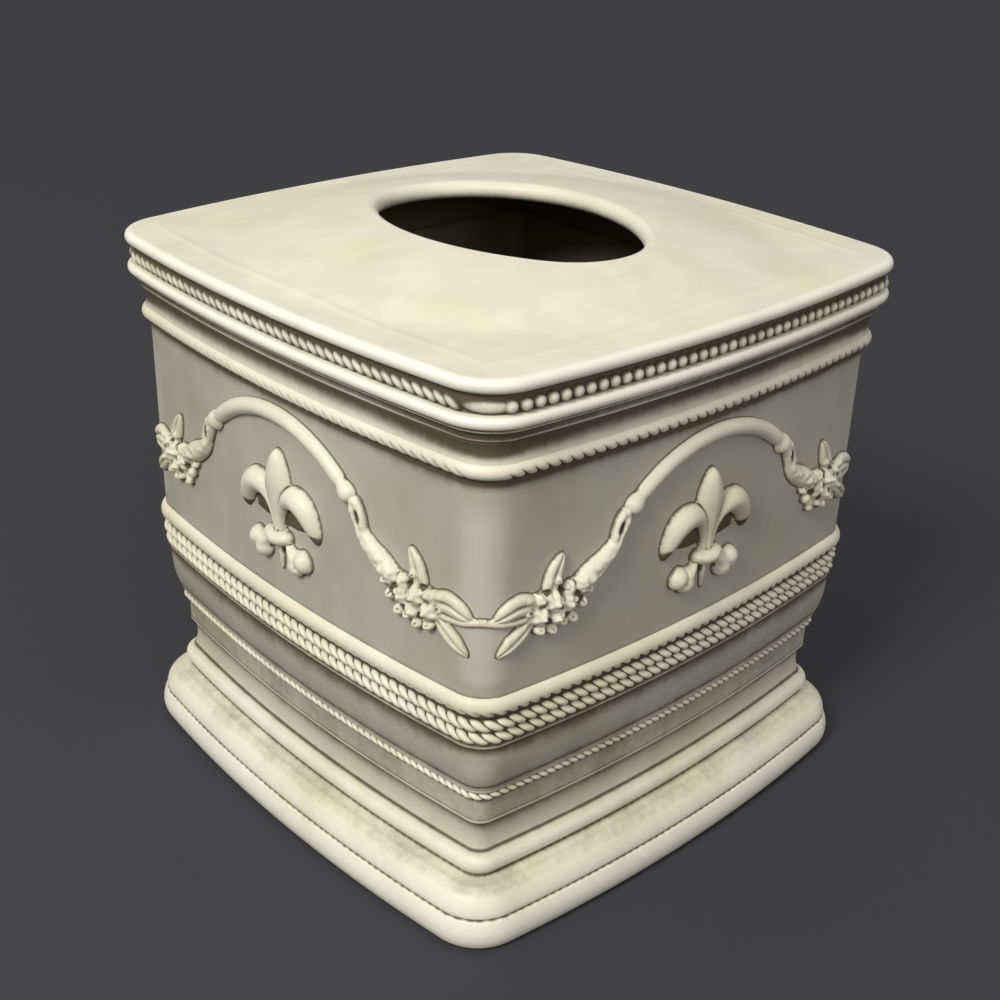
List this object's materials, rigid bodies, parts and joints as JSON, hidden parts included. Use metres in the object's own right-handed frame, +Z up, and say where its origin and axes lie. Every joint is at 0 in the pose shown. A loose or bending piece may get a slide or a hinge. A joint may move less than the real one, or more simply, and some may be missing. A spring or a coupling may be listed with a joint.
{
  "type": "tissue box cover",
  "caption": "Square cover with bowed sides that drops over an upright tissue box, with an oval opening in its crowned top and moulded classical ornament round its sides.",
  "frame": {"origin": "on the surface it stands on, under the middle of the cover", "axes": "+Z up, +X and -Y the two sides seen in the picture, with the oval opening's long axis along X"},
  "size_m": [0.1536, 0.1536, 0.1513],
  "materials": {
    "wall": "satin taupe paint with an umber wash over cast resin",
    "cream": "satin ivory paint with an umber wash in the recesses over cast resin",
    "felt": "dense dark felt"
  },
  "bodies": {
    "root": {"body_shell": "wall", "top_cap": "cream", "lip_beads": "cream", "neck_roll": "cream", "neck_cord": "cream", "band_roll": "cream", "band_rope_upper": "cream", "band_rope_lower": "cream", "plinth_rope": "cream", "fleur_right": "cream", "fleur_back": "cream", "fleur_left": "cream", "fleur_front": "cream", "arch_right": "cream", "arch_back": "cream", "arch_left": "cream", "arch_front": "cream", "garland_right_rear": "cream", "garland_right_front": "cream", "garland_back_left": "cream", "garland_back_right": "cream", "garland_left_front": "cream", "garland_left_rear": "cream", "garland_front_right": "cream", "garland_front_left": "cream", "pad_right_rear": "felt", "pad_left_rear": "felt", "pad_left_front": "felt", "pad_right_front": "felt"}
  },
  "joints": []
}
